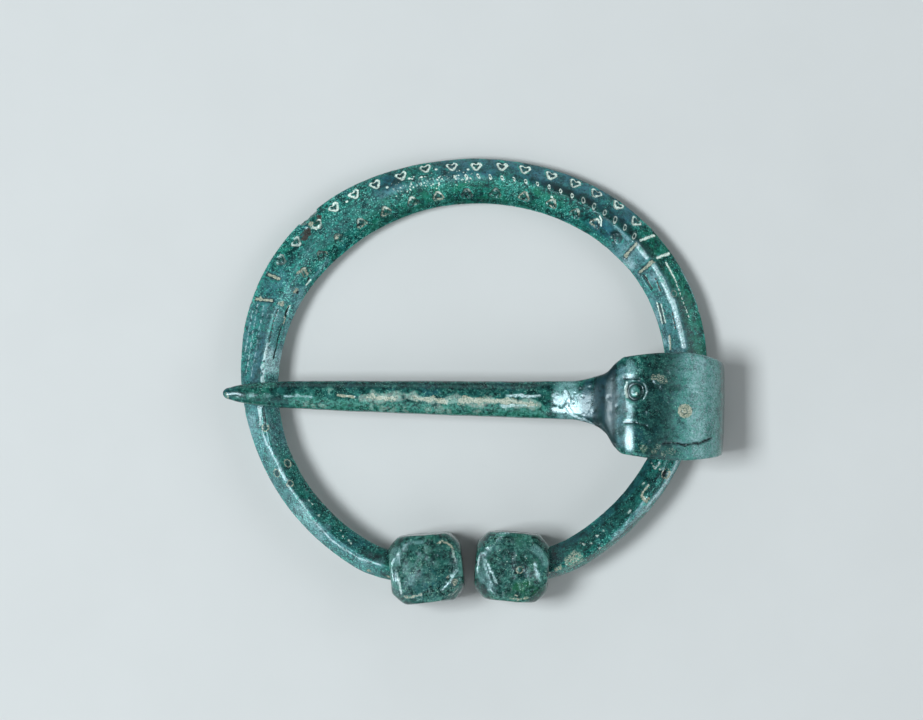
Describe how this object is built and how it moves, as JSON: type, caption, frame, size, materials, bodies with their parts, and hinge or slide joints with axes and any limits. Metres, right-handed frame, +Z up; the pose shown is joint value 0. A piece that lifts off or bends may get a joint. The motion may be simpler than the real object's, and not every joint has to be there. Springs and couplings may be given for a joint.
{
  "type": "penannular brooch",
  "caption": "Open bronze ring with a faceted cube at each end and a long pin whose sheet head is rolled round the ring; it fastens cloth.",
  "frame": {"origin": "middle of the box round the brooch, on the ground it lies on", "axes": "+X from the pin's tip towards its loop, +Y from the gap in the ring towards its decorated arch, +Z up, out of the decorated side"},
  "size_m": [0.0624, 0.0554, 0.0119],
  "materials": {
    "hoop_bronze": "cast bronze under a smooth, waxed blue-green patina, with pale fill in the punch marks",
    "pin_bronze": "forged bronze under a smooth, waxed dark green patina, rubbed paler along the shaft"
  },
  "bodies": {
    "hoop": {"hoop": "hoop_bronze"},
    "pin": {"pin": "pin_bronze"}
  },
  "joints": [
    {"name": "pin_swing", "type": "hinge", "parent": "hoop", "child": "pin", "pos_m": [0.02551, -0.00278, 0.00592], "axis": [0.0209, 0.9975, -0.0673], "range_deg": [0, 180]}
  ]
}
